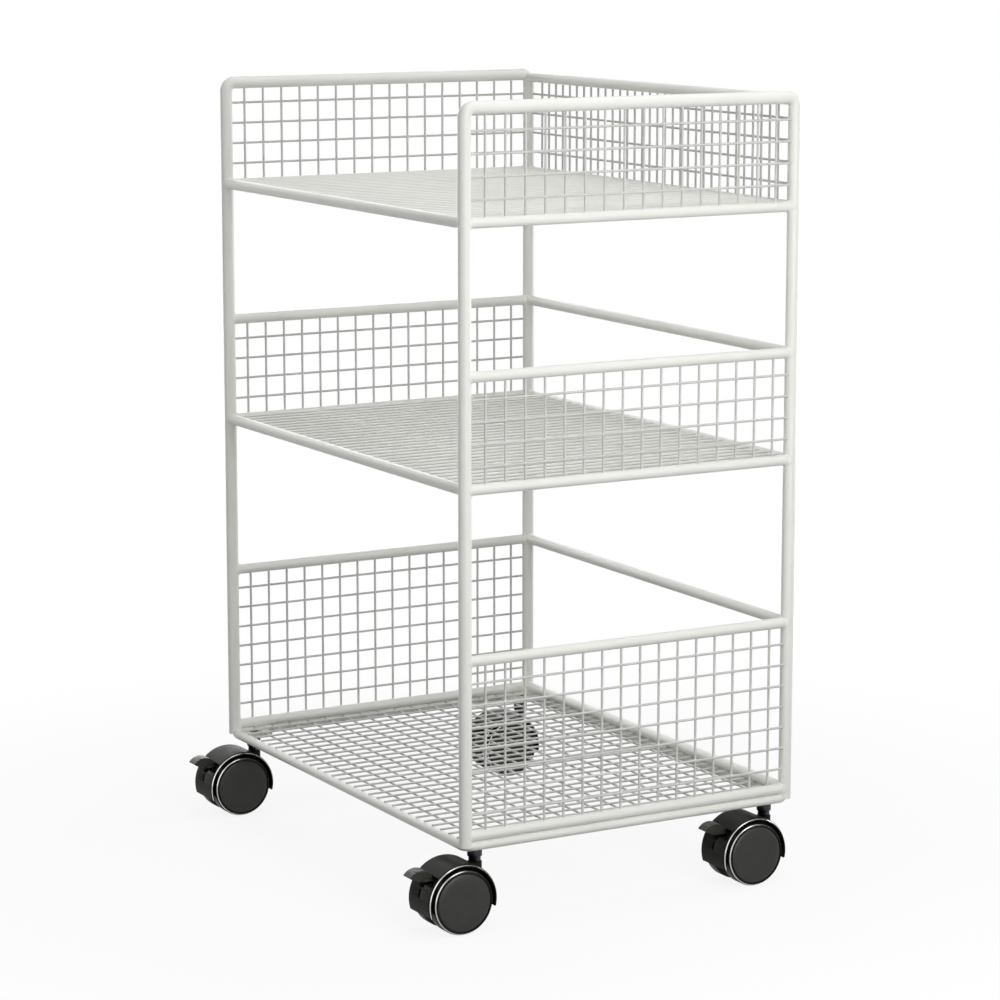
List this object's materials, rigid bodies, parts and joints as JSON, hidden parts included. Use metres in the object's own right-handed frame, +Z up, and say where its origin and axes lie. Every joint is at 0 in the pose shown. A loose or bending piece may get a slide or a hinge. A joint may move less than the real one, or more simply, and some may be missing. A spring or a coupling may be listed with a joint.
{
  "type": "rolling storage cart",
  "caption": "White wire rolling storage cart with mesh-sided open shelves on swivelling twin-wheel casters with brake pedals.",
  "frame": {"origin": "on the floor, at the bottom centre of the whole object's box with the casters trailing to the front", "axes": "+Z up, the open long side faces -Y, the mesh sides face -X and +X"},
  "size_m": [0.4054, 0.3232, 0.5937],
  "materials": {
    "white_coated_tube": "gloss powder coat",
    "white_coated_wire": "gloss powder coat",
    "black_stem_steel": "blackened satin",
    "zinc_plated_steel": "satin",
    "black_hood_plastic": "satin",
    "black_wheel_nylon": "satin",
    "dark_pedal_plastic": "satin"
  },
  "bodies": {
    "cart_frame": {"back_base_rail": "white_coated_tube", "back_lower_rail": "white_coated_tube", "back_lower_shelf_rail": "white_coated_tube", "back_middle_rail": "white_coated_tube", "back_top_rail": "white_coated_tube", "back_upper_mesh": "white_coated_wire", "back_upper_shelf_rail": "white_coated_tube", "base_ring": "white_coated_tube", "caster_corner_plates": "white_coated_tube", "caster_stems": "black_stem_steel", "floor_grid": "white_coated_wire", "front_lower_shelf_rail": "white_coated_tube", "front_upper_shelf_rail": "white_coated_tube", "left_base_rail": "white_coated_tube", "left_lower_mesh": "white_coated_wire", "left_lower_rail": "white_coated_tube", "left_lower_shelf_rail": "white_coated_tube", "left_middle_mesh": "white_coated_wire", "left_middle_rail": "white_coated_tube", "left_side_hoop": "white_coated_tube", "left_upper_mesh": "white_coated_wire", "left_upper_shelf_rail": "white_coated_tube", "lower_shelf_deck": "white_coated_wire", "right_base_rail": "white_coated_tube", "right_lower_mesh": "white_coated_wire", "right_lower_rail": "white_coated_tube", "right_lower_shelf_rail": "white_coated_tube", "right_middle_mesh": "white_coated_wire", "right_middle_rail": "white_coated_tube", "right_side_hoop": "white_coated_tube", "right_upper_mesh": "white_coated_wire", "right_upper_shelf_rail": "white_coated_tube", "stem_snap_rings": "zinc_plated_steel", "upper_shelf_deck": "white_coated_wire"},
    "front_left_caster": {"front_left_caster_hood": "black_hood_plastic", "front_left_caster_axle": "zinc_plated_steel"},
    "front_left_left_wheel": {"front_left_left_wheel": "black_wheel_nylon"},
    "front_left_right_wheel": {"front_left_right_wheel": "black_wheel_nylon"},
    "front_left_brake_pedal": {"front_left_brake_pedal": "dark_pedal_plastic"},
    "front_right_caster": {"front_right_caster_hood": "black_hood_plastic", "front_right_caster_axle": "zinc_plated_steel"},
    "front_right_left_wheel": {"front_right_left_wheel": "black_wheel_nylon"},
    "front_right_right_wheel": {"front_right_right_wheel": "black_wheel_nylon"},
    "front_right_brake_pedal": {"front_right_brake_pedal": "dark_pedal_plastic"},
    "back_left_caster": {"back_left_caster_hood": "black_hood_plastic", "back_left_caster_axle": "zinc_plated_steel"},
    "back_left_left_wheel": {"back_left_left_wheel": "black_wheel_nylon"},
    "back_left_right_wheel": {"back_left_right_wheel": "black_wheel_nylon"},
    "back_left_brake_pedal": {"back_left_brake_pedal": "dark_pedal_plastic"},
    "back_right_caster": {"back_right_caster_hood": "black_hood_plastic", "back_right_caster_axle": "zinc_plated_steel"},
    "back_right_left_wheel": {"back_right_left_wheel": "black_wheel_nylon"},
    "back_right_right_wheel": {"back_right_right_wheel": "black_wheel_nylon"},
    "back_right_brake_pedal": {"back_right_brake_pedal": "dark_pedal_plastic"}
  },
  "joints": [
    {"name": "front_left_swivel", "type": "hinge", "parent": "cart_frame", "child": "front_left_caster", "pos_m": [-0.18475, -0.10612, 0.0485], "axis": [0, 0, 1], "continuous": true},
    {"name": "front_left_left_wheel_spin", "type": "hinge", "parent": "front_left_caster", "child": "front_left_left_wheel", "pos_m": [-0.18475, -0.12412, 0.024], "axis": [1, 0, 0], "continuous": true},
    {"name": "front_left_right_wheel_spin", "type": "hinge", "parent": "front_left_caster", "child": "front_left_right_wheel", "pos_m": [-0.18475, -0.12412, 0.024], "axis": [1, 0, 0], "continuous": true},
    {"name": "front_left_brake_press", "type": "hinge", "parent": "front_left_caster", "child": "front_left_brake_pedal", "pos_m": [-0.18475, -0.13512, 0.0395], "axis": [1, 0, 0], "range_deg": [0, 15]},
    {"name": "front_right_swivel", "type": "hinge", "parent": "cart_frame", "child": "front_right_caster", "pos_m": [0.18475, -0.10612, 0.0485], "axis": [0, 0, 1], "continuous": true},
    {"name": "front_right_left_wheel_spin", "type": "hinge", "parent": "front_right_caster", "child": "front_right_left_wheel", "pos_m": [0.18475, -0.12412, 0.024], "axis": [1, 0, 0], "continuous": true},
    {"name": "front_right_right_wheel_spin", "type": "hinge", "parent": "front_right_caster", "child": "front_right_right_wheel", "pos_m": [0.18475, -0.12412, 0.024], "axis": [1, 0, 0], "continuous": true},
    {"name": "front_right_brake_press", "type": "hinge", "parent": "front_right_caster", "child": "front_right_brake_pedal", "pos_m": [0.18475, -0.13512, 0.0395], "axis": [1, 0, 0], "range_deg": [0, 15]},
    {"name": "back_left_swivel", "type": "hinge", "parent": "cart_frame", "child": "back_left_caster", "pos_m": [-0.18475, 0.14438, 0.0485], "axis": [0, 0, 1], "continuous": true},
    {"name": "back_left_left_wheel_spin", "type": "hinge", "parent": "back_left_caster", "child": "back_left_left_wheel", "pos_m": [-0.18475, 0.12637, 0.024], "axis": [1, 0, 0], "continuous": true},
    {"name": "back_left_right_wheel_spin", "type": "hinge", "parent": "back_left_caster", "child": "back_left_right_wheel", "pos_m": [-0.18475, 0.12637, 0.024], "axis": [1, 0, 0], "continuous": true},
    {"name": "back_left_brake_press", "type": "hinge", "parent": "back_left_caster", "child": "back_left_brake_pedal", "pos_m": [-0.18475, 0.11538, 0.0395], "axis": [1, 0, 0], "range_deg": [0, 15]},
    {"name": "back_right_swivel", "type": "hinge", "parent": "cart_frame", "child": "back_right_caster", "pos_m": [0.18475, 0.14438, 0.0485], "axis": [0, 0, 1], "continuous": true},
    {"name": "back_right_left_wheel_spin", "type": "hinge", "parent": "back_right_caster", "child": "back_right_left_wheel", "pos_m": [0.18475, 0.12637, 0.024], "axis": [1, 0, 0], "continuous": true},
    {"name": "back_right_right_wheel_spin", "type": "hinge", "parent": "back_right_caster", "child": "back_right_right_wheel", "pos_m": [0.18475, 0.12637, 0.024], "axis": [1, 0, 0], "continuous": true},
    {"name": "back_right_brake_press", "type": "hinge", "parent": "back_right_caster", "child": "back_right_brake_pedal", "pos_m": [0.18475, 0.11538, 0.0395], "axis": [1, 0, 0], "range_deg": [0, 15]}
  ]
}
